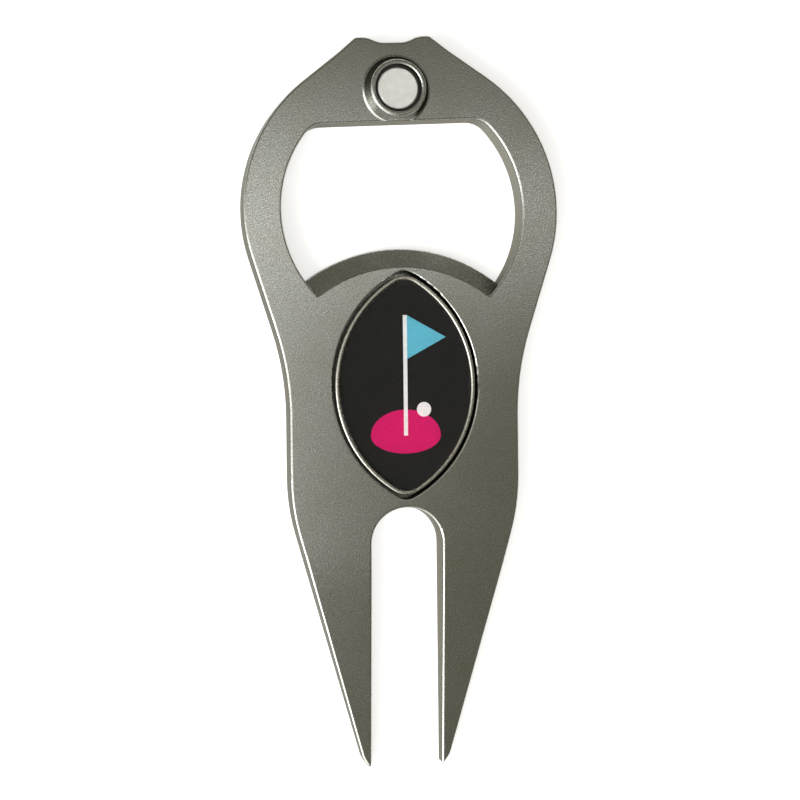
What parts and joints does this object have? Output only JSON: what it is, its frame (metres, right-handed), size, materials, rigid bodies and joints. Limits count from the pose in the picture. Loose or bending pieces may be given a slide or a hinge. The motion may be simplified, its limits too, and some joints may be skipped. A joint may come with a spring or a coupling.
{
  "type": "divot repair tool",
  "caption": "Flat cast golf divot fork with a bottle opener loop, a raised cap magnet and a lift-out pointed-oval ball marker in a magnetic pocket.",
  "frame": {"origin": "middle of the outline, in the plane of the back face that the tool lies on", "axes": "+X across the tool, to the right as the front is seen with the horns up; +Y along the tool from the fork towards the horns; +Z out of the front face"},
  "size_m": [0.0394, 0.09, 0.0051],
  "materials": {
    "casting": "die-cast zinc, fine blasted surface, satin antique nickel plate",
    "magnet": "bright nickel plate on a neodymium disc",
    "adhesive": "cured dark epoxy",
    "marker_steel": "stamped steel, satin nickel plate, rim rubbed bright",
    "marker_print": "satin black ground with a plain golf flag printed on it",
    "marker_resin": "clear poured resin"
  },
  "bodies": {
    "tool": {"body": "casting", "cap_magnet": "magnet", "cap_magnet_glue": "adhesive", "marker_magnet": "magnet", "marker_magnet_glue": "adhesive"},
    "marker": {"marker_tray": "marker_steel", "marker_insert": "marker_print", "marker_dome": "marker_resin"}
  },
  "joints": [
    {"name": "marker_lift", "type": "slide", "parent": "tool", "child": "marker", "axis": [0, 0, 1], "range_m": [0, 0.015]}
  ]
}
